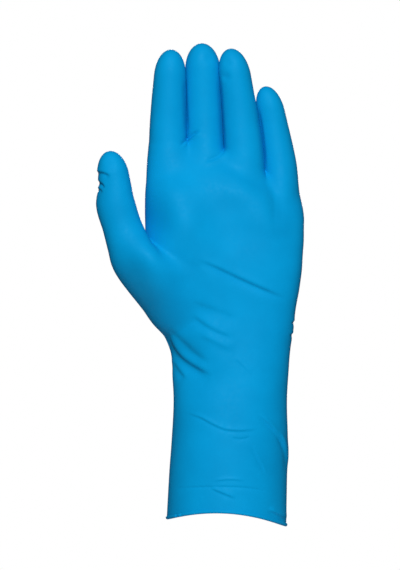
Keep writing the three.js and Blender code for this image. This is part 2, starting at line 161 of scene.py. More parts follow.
# The thumb flows into the palm, but its web is crisp.
THUMB_BLEND = 14.0
THUMB_WEB_BLEND = 1.2
THUMB_WEB = {"from": 151.0, "to": 175.0}
# Neighbours overlap by this much seen from the front, so that no light shows between them.
FINGER_SNUG = 0.3

# Thumb stations from the root in the heel of the hand. The places are shares of THUMB_REACH, and
# width and depth shares of THUMB_WIDTH.
THUMB_COLUMNS = ("across", "up", "forward", "width", "depth")
THUMB_STATIONS = [dict(zip(THUMB_COLUMNS, row)) for row in (
    (0.0, 0.0, 0.0, 0.6, 0.5),
    (0.13, 0.085, 0.15, 1.02, 0.86),
    (0.28, 0.18, 0.35, 1.12, 0.97),
    (0.5, 0.295, 0.6, 1.12, 0.97),
    (0.66, 0.384, 0.72, 1.07, 0.93),
    (0.744, 0.465, 0.8, 0.955, 0.88),
    (0.834, 0.575, 0.88, 0.87, 0.82),
    (0.915, 0.692, 0.95, 0.87, 0.76),
    (0.925, 0.777, 1.0, 0.76, 0.7),
    (0.935, 0.834, 1.03, 0.7, 0.66),
    (0.965, 0.9, 1.06, 0.69, 0.64),
    (1.0, 1.0, 1.1, 0.69, 0.62),
)]
THUMB_SAMPLES = 80
# Only points in this box are measured against the thumb, so many at a time, and the others count
# as far off.
THUMB_BOX = {"across": 5.0, "from": 95.0, "to": 245.0}
THUMB_BATCH = 40000
FAR_OFF = 60.0

# Broad pads and hollows of the palm's front, in millimetres: a place across and up, how far they
# spread each way, and how far they bring the film forward.
PADS = (
    (-41.7, 149.0, 11.0, 15.5, 5.07),
    (-59.2, 132.9, 12.1, 26.1, -5.63),
    (-20.0, 114.3, 11.0, 9.0, 2.04),
    (-47.5, 174.3, 11.2, 18.9, 5.08),
    (-12.8, 137.6, 11.0, 30.0, 3.38),
    (25.9, 175.2, 15.1, 21.2, 1.90),
    (24.3, 137.5, 11.0, 22.5, -0.78),
    (19.5, 122.8, 15.6, 15.2, -0.28),
    (-16.6, 88.6, 15.9, 9.0, -2.79),
    (-28.4, 187.4, 11.0, 10.3, 5.16),
    (-12.5, 218.7, 11.0, 16.7, 2.51),
    (-2.4, 226.6, 39.8, 9.0, 1.13),
    (37.4, 199.8, 14.7, 12.3, 5.41),
    (-47.4, 182.6, 11.0, 9.0, -5.99),
    (-64.3, 165.2, 24.5, 9.1, 1.27),
    (40.7, 179.0, 11.0, 19.2, -2.38),
    (-32.3, 176.1, 16.0, 14.5, 5.42),
    (-43.5, 121.9, 18.6, 18.1, -8.18),
    (26.0, 205.0, 4.5, 8.0, 1.00),
)
# The pads come in over this stretch of depth, counted forward from the middle of the glove.
PADS_AHEAD = {"from": -12.0, "to": 8.0}

# Folds of the film on the palm side. A path is a few points across and up in millimetres. A ridge
# stands proud on its left and a groove sinks on its right, as seen along the path, and values below
# zero swap the two. The slots are grooves that deepen the line between two fingers.
FOLD_COLUMNS = ("name", "ridge", "groove", "width", "path")
FOLDS = [dict(zip(FOLD_COLUMNS, row)) for row in (
    ("palm", 0.5, 0.95, 1.5, ((-19.7, 162.1), (-8.5, 157.7), (11.3, 148.4),
                              (29.9, 140.4), (38.5, 137.0))),
    ("heel_soft", 0.1, 0.55, 2.6, ((-24.0, 136.6), (-13.5, 132.9), (-1.1, 128.6), (9.5, 123.6))),
    ("heel", 0.35, 0.6, 1.8, ((-22.8, 128.6), (-16.6, 123.6), (-8.5, 118.4),
                              (-0.4, 115.0), (5.8, 112.5))),
    ("heel_ridge", 0.45, 0.25, 2.2, ((-18.0, 115.5), (-11.0, 112.0), (-4.2, 108.7), (5.1, 104.4))),
    ("heel_line", 0.2, 0.1, 0.9, ((4.0, 101.5), (8.2, 97.6), (11.5, 94.5), (15.0, 89.5))),
    ("wrist", 1.2, 1.4, 2.3, ((-37.0, 119.0), (-34.2, 109.5), (-27.9, 101.0),
                              (-16.6, 93.6), (-8.0, 90.0))),
    ("wrist_soft", 0.3, 0.9, 2.6, ((-38.3, 121.1), (-29.0, 113.0), (-19.7, 104.4), (-9.1, 97.0))),
    ("wrist_dent", 0.3, 0.7, 1.6, ((-34.0, 99.5), (-32.0, 96.0), (-29.0, 92.0), (-25.0, 87.5))),
    ("cuff_line", 0.45, 0.25, 0.8, ((-27.0, 67.4), (-16.6, 64.1), (-8.5, 59.8),
                                    (-1.0, 56.8), (8.2, 56.0), (21.5, 57.0))),
    ("cuff_short", 0.0, 0.35, 0.6, ((2.5, 52.2), (8.5, 51.2), (15.0, 52.6))),
    ("cuff_side", 0.6, 0.5, 0.9, ((18.5, 67.0), (26.8, 59.1), (33.0, 51.1), (37.6, 41.5))),
    ("cuff_edge", 0.7, 0.5, 0.9, ((31.5, 57.0), (35.0, 48.0), (37.2, 37.0), (37.4, 28.0))),
    ("cuff_down", 0.15, 0.3, 0.7, ((15.0, 47.5), (19.4, 38.7), (24.5, 28.5))),
    ("cuff_ring", 0.0, 0.3, 0.55, ((-36.0, 20.2), (-16.6, 21.5), (8.2, 21.4), (29.0, 18.6))),
    ("cuff_ridge", 0.3, 0.1, 0.6, ((-10.0, 24.6), (2.0, 25.9), (12.0, 24.8))),
    ("cuff_low", 0.5, 0.2, 0.8, ((-11.0, 21.0), (-2.9, 17.6), (6.0, 14.0))),
    ("mouth_side", 0.7, 0.4, 1.1, ((25.0, 7.5), (31.8, 3.9), (37.5, 0.5))),
    ("side_upper", 0.2, 0.7, 0.8, ((39.6, 122.6), (42.0, 123.2), (45.5, 124.2))),
    ("side_lower", 0.2, 0.7, 0.8, ((38.6, 115.0), (41.0, 115.6), (44.5, 116.6))),
    ("thumb_upper", 0.3, 0.9, 1.0, ((-82.5, 215.8), (-77.0, 215.2), (-71.5, 213.0))),
    ("thumb_lower", 0.3, 1.0, 0.9, ((-82.0, 211.0), (-77.6, 208.6), (-75.0, 205.5))),
    ("thumb_third", 0.3, 0.7, 0.8, ((-82.0, 205.6), (-78.5, 205.0), (-76.5, 203.0))),
    ("index_web", -1.3, -0.7, 0.7, ((-29.0, 231.2), (-25.2, 234.4), (-20.5, 238.3), (-16.0, 241.2))),
    ("index_slot", 0.0, 1.6, 0.8, ((-25.1, 276.0), (-24.8, 262.0), (-24.2, 248.0), (-24.1, 237.0))),
    ("ring_slot", 0.0, 1.6, 0.8, ((-4.2, 278.0), (-3.0, 262.0), (-2.1, 247.0),
                                  (-1.2, 234.0), (-0.8, 226.0))),
    ("little_slot", 0.0, 1.6, 0.8, ((19.5, 258.0), (22.0, 243.0), (23.6, 229.0), (24.4, 214.5))),
    ("middle_web", -0.7, -0.4, 0.9, ((-14.0, 221.5), (-8.0, 223.4), (-3.4, 226.3), (-0.3, 231.5))),
)]
# A fold fades in and out over this share of its length, and towards the back over this range of
# how squarely the film faces the front.
FOLD_FADE = 0.28
FOLD_FRONT = {"from": -0.45, "to": 0.1}
# Ridge and groove lie this many widths beside the path, and fall off this much more slowly away
# from it.
FOLD_OFFSET = 0.6
FOLD_TAIL = 2.0
FOLD_SAMPLES = 48
# On the four fingers a fold moves the film straight forward or back, so that it opens no gap.
FINGERS_FROM = 215.0
FINGERS_SIDE = -60.0

# Shallow dents, each a place across and up, a radius and a depth in millimetres.
DENTS = (
    (-11.0, 286.5, 3.2, 0.7),
    (-0.6, 274.5, 2.4, 1.0),
    (0.6, 283.5, 2.6, 0.6),
    (-73.0, 222.0, 3.5, 0.6),
)

# Round the folds the mesh is cut finer, down to this edge length within this many fold widths.
FINE_EDGE = 0.75
FINE_REACH = 2.9
FINE_ROUNDS = 2
# Film that faces further back than this isn't cut.
FINE_FACING = 0.4

# While the surface is worked out the fingers stand this far apart above their webs, and come to
# it over a short stretch.
SPREAD_APART = 3.0
SPREAD_OVER = 8.0
SPREAD_FROM = {"index": 232.0, "ring": 227.6, "little": 214.6}
SPREAD_ABOVE = 200.0

# The grid that the surface is first cut from: its cells and how far it reaches.
CELL = 1.4
GRID_ACROSS = (-84.0, 62.0)
GRID_DEEP = (-38.0, 34.0)
GRID_TOP = 304.0
SMOOTHING_ROUNDS = 4

# The rolled bead round the mouth is a circle that bulges outside and inside the film.
BEAD_RADIUS = 1.15
BEAD_BULGE = 0.75
BEAD_HEIGHT = 2.4
BEAD_RINGS = 14

# The inner wall keeps this share of the outer one's triangles.
INNER_SHARE = 0.18

# The latex: its colour drifts between two blues and its roughness between two values, where noise
# runs from NOISE_LOW to NOISE_HIGH. A noise has a scale and a detail, and a bump in metres.
DEEP_BLUE = (0.0008, 0.3, 0.645, 1.0)
LIGHT_BLUE = (0.0012, 0.338, 0.712, 1.0)
SATIN = (0.46, 0.62)
GLOSS = 0.12
GLOSS_TINT = (0.25, 0.75, 1.0, 1.0)
NOISE_LOW = 0.3
NOISE_HIGH = 0.7
CLOUD = {"scale": 38.0, "detail": 4.0}
SPECK = {"scale": 420.0, "detail": 3.0}
PUCKER = {"scale": 70.0, "detail": 2.0, "height": 0.0006, "strength": 0.35}
GRAIN = {"scale": 1100.0, "detail": 2.0, "height": 0.0001, "strength": 0.3}

# The studio, in metres and watts, with the sensor in millimetres.
FLOOR = {"low": -0.27, "radius": 0.5, "corners": 96, "grey": 0.7, "roughness": 0.8}
SKY_ON_GLOVE = 0.07
SOFTBOX_SIZE = 1.0
SOFTBOX_AIM = (-0.01, 0.0, 0.15)
SOFTBOXES = (
    ("key", (0.0, -2.07, 1.16), 51.5),
    ("back", (0.0, 2.2, 0.5), 34.0),
)
CAMERA = {"across": -0.0166, "up": 0.1459, "distance": 5.0, "picture_height": 0.3534, "clip_end": 50.0}
SENSOR = 36.0


def smoothstep(value, start, end):
    t = np.clip((value - start) / (end - start), 0.0, 1.0)
    return t * t * (3.0 - 2.0 * t)


def mix(a, b, share):
    return a + (b - a) * share


def column(at, value):
    """A smooth curve through values at rising places."""
    at = np.asarray(at, float)
    value = np.asarray(value, float)
    before = np.maximum(np.arange(len(at)) - 1, 0)
    after = np.minimum(np.arange(len(at)) + 1, len(at) - 1)
    slope = (value[after] - value[before]) / (at[after] - at[before])

    def curve(place):
        k = np.clip(np.searchsorted(at, place, side="right") - 1, 0, len(at) - 2)
        span = at[k + 1] - at[k]
        t = np.clip((place - at[k]) / span, 0.0, 1.0)
        t2 = t * t
        t3 = t2 * t
        return ((2 * t3 - 3 * t2 + 1) * value[k] + (t3 - 2 * t2 + t) * span * slope[k]
                + (3 * t2 - 2 * t3) * value[k + 1] + (t3 - t2) * span * slope[k + 1])

    return curve


def section_column(name, size=None, sign=1.0):
    at = [row["at"] for row in SECTIONS]
    return column(at, [sign * row[name] * (row["of"][size] if size else 1.0) for row in SECTIONS])


thumb_edge = section_column("thumb_edge", "width", -1.0)
little_edge = section_column("little_edge", "width")
palm_face = section_column("palm_face", "depth", -1.0)
back_face = section_column("back_face", "depth")
thumb_square = section_column("thumb_square")
little_square = section_column("little_square")


def station(height):
    palm = 1.0 + (height - CUFF_LENGTH) / PALM_LENGTH
    return np.where(height < CUFF_LENGTH, height / CUFF_LENGTH, palm)


def web_drop(x):
    share = (x / PALM["width"] - WEB_DROP_FROM) / (WEB_DROP_AT - WEB_DROP_FROM)
    return WEB_DROP * np.clip(share, 0.0, WEB_DROP_MOST) ** 2


def relief(table, x, z):
    up = (z - CUFF_LENGTH) / PALM_LENGTH
    total = 0.0
    for pad in table:
        a = (x / PALM["width"] - pad["across"]) / pad["spread_across"]
        b = (up - pad["up"]) / pad["spread_up"]
        total = total + pad["rise"] * PALM["depth"] * np.exp(-(a * a + b * b) / 2)
    return total


def smooth_min(a, b, width):
    share = np.clip(0.5 + 0.5 * (b - a) / width, 0.0, 1.0)
    return mix(b, a, share) - width * share * (1.0 - share)


def body_section(x, z):
    """Middle, half sizes and squareness of the sleeve's or palm's section through one place."""
    height = z
    for _ in range(WEB_DROP_ROUNDS):
        height = z + web_drop(x) * smoothstep(station(height), WEB_DROP_STARTS, WEB_DROP_ENDS)
    at = station(height)
    left, right = thumb_edge(at), little_edge(at)
    middle = (left + right) / 2
    follow = smoothstep(at, FACES_FOLLOW["from"], FACES_FOLLOW["to"])
    front = palm_face(at) + follow * finger_fronts(x)
    back = back_face(at) + follow * finger_backs(x)
    return {
        "height": height,
        "x": middle,
        "half_width": (right - left) / 2,
        "y": (front + back) / 2,
        "half_depth": (back - front) / 2,
        "square": np.where(x < middle, thumb_square(at), little_square(at)),
    }


def body_field(x, y, z):
    """Roughly the distance outside the sleeve and palm."""
    s = body_section(x, z)
    front, back = (relief(table, x, s["height"]) for table in (PALM_RELIEF, BACK_RELIEF))
    swell = np.where(y < s["y"], front, back)
    half_depth = s["half_depth"] + swell
    u = np.abs((x - s["x"]) / s["half_width"]) + TINY
    v = np.abs((y - s["y"]) / half_depth) + TINY
    n = s["square"]
    r = (u ** n + v ** n) ** (1.0 / n)
    slope = np.hypot((u / r) ** (n - 1) / s["half_width"], (v / r) ** (n - 1) / half_depth)
    side = (r - 1.0) / slope
    top = s["height"] - (CUFF_LENGTH + (PALM_TOP - 1.0) * PALM_LENGTH)
    return -smooth_min(-side, -top, PALM_TOP_ROUNDING)


def spread(z, name):
    start = SPREAD_FROM[name]
    return SPREAD_APART * smoothstep(z, start, start + SPREAD_OVER)


class Finger:
    """One finger as a bent ellipse section over its height."""

    def __init__(self, row):
        self.name = row["name"]
        self.root = CUFF_LENGTH + row["root_up"] * PALM_LENGTH
        self.length = row["length"]
        stops = (0.0, WEB_AT, 1.0)
        across = [row[k] * PALM["width"] for k in ("root", "web", "tip")]
        back = [row[k] * PALM["depth"] for k in ("root_back", "web_back", "tip_back")]
        self.across = column(stops, across)
        self.back = column(stops, back)
        half = row["width"] * PALM["width"] / 2
        shares = (KNUCKLE_ROOT, 1.0, row["base"], row["middle"], row["end"], row["end"])
        places = (0.0, KNUCKLE_AT, WEB_AT, MIDDLE_AT, END_AT, 1.0)
        self.half = column(places, [share * half for share in shares])
        self.flat = row["flat"]
        self.dome = row["dome"] * 2 * half

    def shift(self, z):
        """How far the finger is moved aside while the surface is worked out."""
        if self.name == "middle":
            return 0.0 * z
        if self.name == "index":
            return -spread(z, "index")
        if self.name == "ring":
            return spread(z, "ring")
        return spread(z, "ring") + spread(z, "little")

    def field(self, x, y, z):
        t = np.clip((z - self.root) / self.length, 0.0, 1.0)
        half_width = self.half(t) + FINGER_SNUG
        knuckle = mix(KNUCKLE_DEPTH, 1.0, smoothstep(t, KNUCKLE_AT, WEB_AT))
        half_depth = self.half(t) * self.flat * knuckle
        u = (x - self.across(t) - self.shift(z)) / half_width
        v = (y - self.back(t)) / half_depth
        dome_start = self.root + self.length - self.dome
        w = np.maximum(z - dome_start, 0.0) / self.dome
        below = np.maximum(self.root + ROOT_ROUNDING - z, 0.0) / ROOT_ROUNDING
        r = np.sqrt(u * u + v * v + w * w + below * below) + TINY
        steep = (u / half_width) ** 2 + (v / half_depth) ** 2 + (w / self.dome) ** 2
        slope = np.sqrt(steep) / r + LEAST_SLOPE
        return (r - 1.0) / slope


class Thumb:
    """The thumb as an ellipse section along a curved line."""

    def __init__(self):
        at = [row["up"] for row in THUMB_STATIONS]
        across = column(at, [row["across"] * THUMB_REACH["across"] for row in THUMB_STATIONS])
        forward = column(at, [row["forward"] * THUMB_REACH["forward"] for row in THUMB_STATIONS])
        width = column(at, [row["width"] * THUMB_WIDTH / 2 for row in THUMB_STATIONS])
        depth = column(at, [row["depth"] * THUMB_WIDTH / 2 for row in THUMB_STATIONS])
        root = np.array([THUMB_ROOT["across"] * PALM["width"], -THUMB_ROOT["forward"] * PALM["depth"],
                         CUFF_LENGTH + THUMB_ROOT["up"] * PALM_LENGTH])
        self.dome = THUMB_DOME * THUMB_WIDTH
        last = 1.0 - self.dome / THUMB_REACH["up"]
        t = np.linspace(0.0, last, THUMB_SAMPLES)
        line = root + np.stack([-across(t), -forward(t), t * THUMB_REACH["up"]], axis=-1)
        along = np.gradient(line, axis=0)
        self.step = np.linalg.norm(along, axis=1)
        self.along = along / self.step[:, None]
        self.line = line
        self.width = width(t)
        self.depth = depth(t)

    def field(self, x, y, z):
        x, y, z = np.broadcast_arrays(x, y, z)
        shape = x.shape
        points = np.stack([x.ravel(), y.ravel(), z.ravel()], axis=-1)
        near = points[:, 0] < THUMB_BOX["across"]
        near &= (points[:, 2] > THUMB_BOX["from"]) & (points[:, 2] < THUMB_BOX["to"])
        out = np.full(len(points), FAR_OFF)
        for start in range(0, int(near.sum()), THUMB_BATCH):
            pick = np.nonzero(near)[0][start:start + THUMB_BATCH]
            out[pick] = self._near(points[pick])
        return out.reshape(shape)

    def _near(self, p):
        gap = ((p[:, None, :] - self.line[None]) ** 2).sum(-1)
        k = gap.argmin(1)
        ahead = ((p - self.line[k]) * self.along[k]).sum(-1)
        place = np.clip(k + ahead / self.step[k], 0.0, THUMB_SAMPLES - 1.0)
        base = np.clip(place.astype(int), 0, THUMB_SAMPLES - 2)
        share = (place - base)[:, None]
        centre = mix(self.line[base], self.line[base + 1], share)
        along = mix(self.along[base], self.along[base + 1], share)
        along /= np.linalg.norm(along, axis=1)[:, None]
        half_width = mix(self.width[base], self.width[base + 1], share[:, 0])
        half_depth = mix(self.depth[base], self.depth[base + 1], share[:, 0])
        across = np.stack([along[:, 2], 0 * along[:, 0], -along[:, 0]], axis=-1)
        across /= np.linalg.norm(across, axis=1)[:, None]
        back = np.cross(along, across)
        gap = p - centre
        u = (gap * across).sum(-1) / half_width
        v = (gap * back).sum(-1) / half_depth
        w = (gap * along).sum(-1)
        past = np.where(place > THUMB_SAMPLES / 2, w / self.dome, w / ROOT_ROUNDING)
        r = np.sqrt(u * u + v * v + past * past) + TINY
        steep = (u / half_width) ** 2 + (v / half_depth) ** 2 + (past / self.dome) ** 2
        slope = np.sqrt(steep) / r + LEAST_SLOPE
        return (r - 1.0) / slope


fingers = [Finger(row) for row in FINGERS]
thumb = Thumb()


def finger_faces(side):
    """How much further forward or back each finger reaches at its web than all four do on average."""
    at = [float(finger.across(WEB_AT)) for finger in fingers]
    reach = [float(finger.back(WEB_AT)) + side * float(finger.half(WEB_AT)) * finger.flat
             for finger in fingers]
    return column(at, np.array(reach) - np.mean(reach))


finger_fronts = finger_faces(-1.0)
finger_backs = finger_faces(1.0)


def glove_field(x, y, z):
    palm = body_field(x, y, z)
    hand = palm
    for finger in fingers:
        hand = np.minimum(hand, smooth_min(palm, finger.field(x, y, z), FINGER_BLEND))
    blend = mix(THUMB_BLEND, THUMB_WEB_BLEND, smoothstep(z, THUMB_WEB["from"], THUMB_WEB["to"]))
    return smooth_min(hand, thumb.field(x, y, z), blend)


def surface_nets(value, xs, ys, zs):
    """Vertices and quads where a grid of values crosses zero, and each vertex's layer in z."""
    inside = value < 0
    nx, ny, nz = (size - 1 for size in inside.shape)
    corners = sum(inside[i:nx + i, j:ny + j, k:nz + k].astype(np.int8)
                  for i in (0, 1) for j in (0, 1) for k in (0, 1))
    cells = np.argwhere((corners > 0) & (corners < 8))
    number = np.full(corners.shape, -1)
    number[tuple(cells.T)] = np.arange(len(cells))
    total = np.zeros((len(cells), 3))
    count = np.zeros(len(cells))
    axes = (xs, ys, zs)
    for axis in range(3):
        others = [a for a in range(3) if a != axis]
        for i in (0, 1):
            for j in (0, 1):
                low = cells.copy()
                low[:, others[0]] += i
                low[:, others[1]] += j
                high = low.copy()
                high[:, axis] += 1
                a = value[tuple(low.T)]
                b = value[tuple(high.T)]
                crossed = (a < 0) != (b < 0)
                share = np.where(crossed, a / np.where(crossed, a - b, 1.0), 0.0)
                place = np.stack([axes[k][low[:, k]] for k in range(3)], axis=-1)
                place[:, axis] = mix(place[:, axis], axes[axis][high[:, axis]], share)
                total += np.where(crossed[:, None], place, 0.0)
                count += crossed
    points = total / count[:, None]

    quads = []
    for axis in range(3):
        size = inside.shape[axis]
        low = np.take(inside, range(size - 1), axis=axis)
        high = np.take(inside, range(1, size), axis=axis)
        edges = np.argwhere(low != high)
        first, second = [(1, 2), (2, 0), (0, 1)][axis]
        fits = (edges[:, first] > 0) & (edges[:, second] > 0)
        fits &= edges[:, first] < inside.shape[first] - 1
        fits &= edges[:, second] < inside.shape[second] - 1
        edges = edges[fits]
        ring = []
        for i, j in ((-1, -1), (0, -1), (0, 0), (-1, 0)):
            cell = edges.copy()
            cell[:, first] += i
            cell[:, second] += j
            ring.append(number[tuple(cell.T)])
        quad = np.stack(ring, axis=-1)
        outward = low[tuple(edges.T)]
        quads.append(np.where(outward[:, None], quad, quad[:, ::-1]))
    return points, np.concatenate(quads), cells[:, 2]


def gradient(field, p, step=0.05):
    parts = []
    for axis in range(3):
        offset = np.zeros(3)
        offset[axis] = step
        a, b = p + offset, p - offset
        parts.append((field(a[:, 0], a[:, 1], a[:, 2]) - field(b[:, 0], b[:, 1], b[:, 2])) / (2 * step))
    return np.stack(parts, axis=-1)


def settle(points, rim, steps=2, most=0.8):
    """Moves points onto the glove's surface. The rim's points stay at their height."""
    for _ in range(steps):
        slope = gradient(glove_field, points)
        slope[rim, 2] = 0.0
        value = glove_field(points[:, 0], points[:, 1], points[:, 2])
        move = -value[:, None] * slope / np.maximum((slope ** 2).sum(-1), LEAST_SQUARE)[:, None]
        length = np.linalg.norm(move, axis=1)
        points = points + move * np.minimum(1.0, most / np.maximum(length, TINY))[:, None]
    return points


def edges_of(faces):
    """Each edge of the faces once, with how many faces it has."""
    pairs = np.concatenate([np.stack([faces[:, i], faces[:, (i + 1) % faces.shape[1]]], axis=-1)
                            for i in range(faces.shape[1])])
    return np.unique(np.sort(pairs, axis=1), axis=0, return_counts=True)


def relaxed(points, faces, rim, share=0.5):
    """Points drawn towards the middle of their neighbours, the rim's along the rim only."""
    edges, uses = edges_of(faces)
    on_rim = np.zeros(len(points), bool)
    on_rim[rim] = True
    both = np.concatenate([edges, edges[:, ::-1]])
    keep = ~on_rim[both[:, 0]] | on_rim[both[:, 1]]
    both = both[keep]
    total = np.zeros_like(points)
    np.add.at(total, both[:, 0], points[both[:, 1]])
    count = np.bincount(both[:, 0], minlength=len(points))
    return mix(points, total / count[:, None], share)


def triangles(points, quads):
    """Quads cut along their shorter diagonal."""
    a, b, c, d = (points[quads[:, i]] for i in range(4))
    short = ((a - c) ** 2).sum(-1) <= ((b - d) ** 2).sum(-1)
    one = np.where(short[:, None], quads[:, [0, 1, 2]], quads[:, [0, 1, 3]])
    two = np.where(short[:, None], quads[:, [0, 2, 3]], quads[:, [1, 2, 3]])
    return np.concatenate([one, two])


def normals_of(points, faces):
    a, b, c = (points[faces[:, i]] for i in range(3))
    face = np.cross(b - a, c - a)
    normal = np.zeros_like(points)
    for i in range(3):
        np.add.at(normal, faces[:, i], face)
    return normal / np.maximum(np.linalg.norm(normal, axis=1), LEAST_NORMAL)[:, None]


def grid_axis(low, high):
    return np.arange(low, high + CELL, CELL)


def smooth_glove():
    """The outer surface before folds, open at the mouth, with the fingers still spread."""
    xs = grid_axis(*GRID_ACROSS)
    ys = grid_axis(*GRID_DEEP)
    zs = grid_axis(BEAD_HEIGHT - CELL / 2, GRID_TOP)
    value = glove_field(xs[:, None, None], ys[None, :, None], zs[None, None, :])
    points, quads, layer = surface_nets(value, xs, ys, zs)
    rim = np.nonzero(layer == 0)[0]
    points[rim, 2] = BEAD_HEIGHT
    for _ in range(SMOOTHING_ROUNDS):
        points = relaxed(points, quads, rim)
        points = settle(points, rim, steps=1)
    return settle(points, rim), quads, rim


def gathered(points):
    """Brings the fingers together and shapes the mouth."""
    x, y, z = points.T
    values = np.stack([finger.field(x, y, z) for finger in fingers])
    shifts = np.stack([finger.shift(z) for finger in fingers])
    nearest = values.argmin(0)
    x = x - shifts[nearest, np.arange(len(x))] * (z > SPREAD_ABOVE)
    section = body_section(x, z)
    u = np.clip((x - section["x"]) / section["half_width"], -1.0, 1.0)
    cos = np.sign(u) * np.abs(u) ** (section["square"] / 2)
    rise = MOUTH_ARCH * (1.0 - cos * cos - MOUTH_ARCH_MIDDLE) - MOUTH_SLANT * cos
    z = z + rise * (1.0 - smoothstep(z, 0.0, MOUTH_LEVELS_OUT))
    return np.stack([x, y, z], axis=-1)


class Fold:
    """One fold as a smooth line, with a ridge and a groove across it."""

    def __init__(self, row):
        path = np.array(row["path"])
        leg = np.linalg.norm(np.diff(path, axis=0), axis=1)
        at = np.concatenate([[0.0], np.cumsum(leg)]) / leg.sum()
        t = np.linspace(0.0, 1.0, FOLD_SAMPLES)
        self.line = np.stack([column(at, path[:, i])(t) for i in (0, 1)], axis=-1)
        along = np.gradient(self.line, axis=0)
        self.along = along / np.linalg.norm(along, axis=1)[:, None]
        self.ridge, self.groove, self.width = row["ridge"], row["groove"], row["width"]

    def across(self, x, z):
        """Signed distance from the line, positive above it, and the place along it."""
        gap = np.stack([x, z], axis=-1)[:, None, :] - self.line[None]
        k = (gap ** 2).sum(-1).argmin(1)
        nearest = gap[np.arange(len(k)), k]
        along = self.along[k]
        ahead = (nearest * along).sum(-1)
        side = along[:, 0] * nearest[:, 1] - along[:, 1] * nearest[:, 0]
        past = np.where((k == 0) | (k == FOLD_SAMPLES - 1), np.abs(ahead), 0.0)
        return side, past, k / (FOLD_SAMPLES - 1.0)

    def lift(self, x, z):
        side, past, place = self.across(x, z)
        ends = smoothstep(place, 0.0, FOLD_FADE) * (1.0 - smoothstep(place, 1.0 - FOLD_FADE, 1.0))
        ends = ends * np.exp(-(past / self.width) ** 2)
        above = side / self.width - FOLD_OFFSET
        below = -side / self.width - FOLD_OFFSET
        ridge = np.exp(-np.where(above > 0, above / FOLD_TAIL, above) ** 2)
        groove = np.exp(-np.where(below > 0, below / FOLD_TAIL, below) ** 2)
        return ends * (self.ridge * ridge - self.groove * groove)

    def around(self, x, z):
        """Whether places lie in the box round the fold."""
        reach = FINE_REACH * self.width
        low, high = self.line.min(0) - reach, self.line.max(0) + reach
        return (x > low[0]) & (x < high[0]) & (z > low[1]) & (z < high[1])

    def near(self, x, z):
        side, past, _ = self.across(x, z)
        return np.hypot(side, past) < FINE_REACH * self.width


folds = [Fold(row) for row in FOLDS]


def near_folds(points):
    close = np.zeros(len(points), bool)
    for fold in folds:
        pick = np.nonzero(fold.around(points[:, 0], points[:, 2]))[0]
        close[pick] |= fold.near(points[pick, 0], points[pick, 2])
    return close


def padded(points):
    """The surface with the broad pads and hollows of the palm, which fade out towards the back."""
    x, y, z = points.T
    share = smoothstep(-y, PADS_AHEAD["from"], PADS_AHEAD["to"])
    rise = 0.0
    for pad_x, pad_z, spread_x, spread_z, height in PADS:
        a = (x - pad_x) / spread_x
        b = (z - pad_z) / spread_z
        rise = rise + height * np.exp(-(a * a + b * b) / 2)
    return np.stack([x, y - share * rise, z], axis=-1)


def folded(points, faces):
    """The surface with its folds and dents, on the side that faces the palm's front."""
    normal = normals_of(points, faces)
    front = smoothstep(-normal[:, 1], FOLD_FRONT["from"], FOLD_FRONT["to"])
    lift = np.zeros(len(points))
    for fold in folds:
        pick = np.nonzero(fold.around(points[:, 0], points[:, 2]) & (front > 0))[0]
        lift[pick] += fold.lift(points[pick, 0], points[pick, 2])
    for x, z, radius, depth in DENTS:
        gap = np.hypot(points[:, 0] - x, points[:, 2] - z) / radius
        lift -= depth * np.exp(-gap ** 2)
    fingers_here = (points[:, 2] > FINGERS_FROM) & (points[:, 0] > FINGERS_SIDE)
    way = np.where(fingers_here[:, None], (0.0, -1.0, 0.0), normal)
    return points + way * (lift * front)[:, None]


def refined(points, faces, wanted):
    """Cuts the wanted edges in half, with the triangles on them. Gives the new points' parents too."""
    pairs = np.stack([faces, np.roll(faces, -1, axis=1)], axis=-1)
    edges, where = np.unique(np.sort(pairs.reshape(-1, 2), axis=1), axis=0, return_inverse=True)
    cut = wanted(edges)
    middle = np.full(len(edges), -1)
    middle[cut] = len(points) + np.arange(cut.sum())
    m = middle[where.ravel()].reshape(-1, 3)
    count = (m >= 0).sum(1)
    out = [faces[count == 0]]
    f, e = faces[count == 3], m[count == 3]
    out += [np.stack(t, axis=-1) for t in ((f[:, 0], e[:, 0], e[:, 2]), (e[:, 0], f[:, 1], e[:, 1]),
                                           (e[:, 2], e[:, 1], f[:, 2]), (e[:, 0], e[:, 1], e[:, 2]))]
    for turn in range(3):
        f, e = np.roll(faces, -turn, axis=1), np.roll(m, -turn, axis=1)
        one = (count == 1) & (e[:, 0] >= 0)
        a, b, c, ab = f[one, 0], f[one, 1], f[one, 2], e[one, 0]
        out += [np.stack(t, axis=-1) for t in ((a, ab, c), (ab, b, c))]
        two = (count == 2) & (e[:, 2] < 0)
        a, b, c, ab, bc = f[two, 0], f[two, 1], f[two, 2], e[two, 0], e[two, 1]
        out += [np.stack(t, axis=-1) for t in ((ab, b, bc), (a, ab, bc), (a, bc, c))]
    return np.concatenate(out), edges[cut]


def refined_near_folds(points, faces, rim):
    """The spread surface with finer triangles where its folds will be."""
    for _ in range(FINE_ROUNDS):
        real = gathered(points)
        normal = normals_of(real, faces)

        def wanted(edges):
            a, b = real[edges[:, 0]], real[edges[:, 1]]
            long = np.linalg.norm(a - b, axis=1) > FINE_EDGE
            front = (normal[edges, 1] < FINE_FACING).all(1)
            return long & front & near_folds((a + b) / 2)

        faces, parents = refined(points, faces, wanted)
        fresh = (points[parents[:, 0]] + points[parents[:, 1]]) / 2
        on_rim = np.isin(parents, rim).all(1)
        start = len(points)
        fresh = settle(fresh, np.nonzero(on_rim)[0])
        points = np.concatenate([points, fresh])
        rim = np.concatenate([rim, start + np.nonzero(on_rim)[0]])
    return points, faces, rim


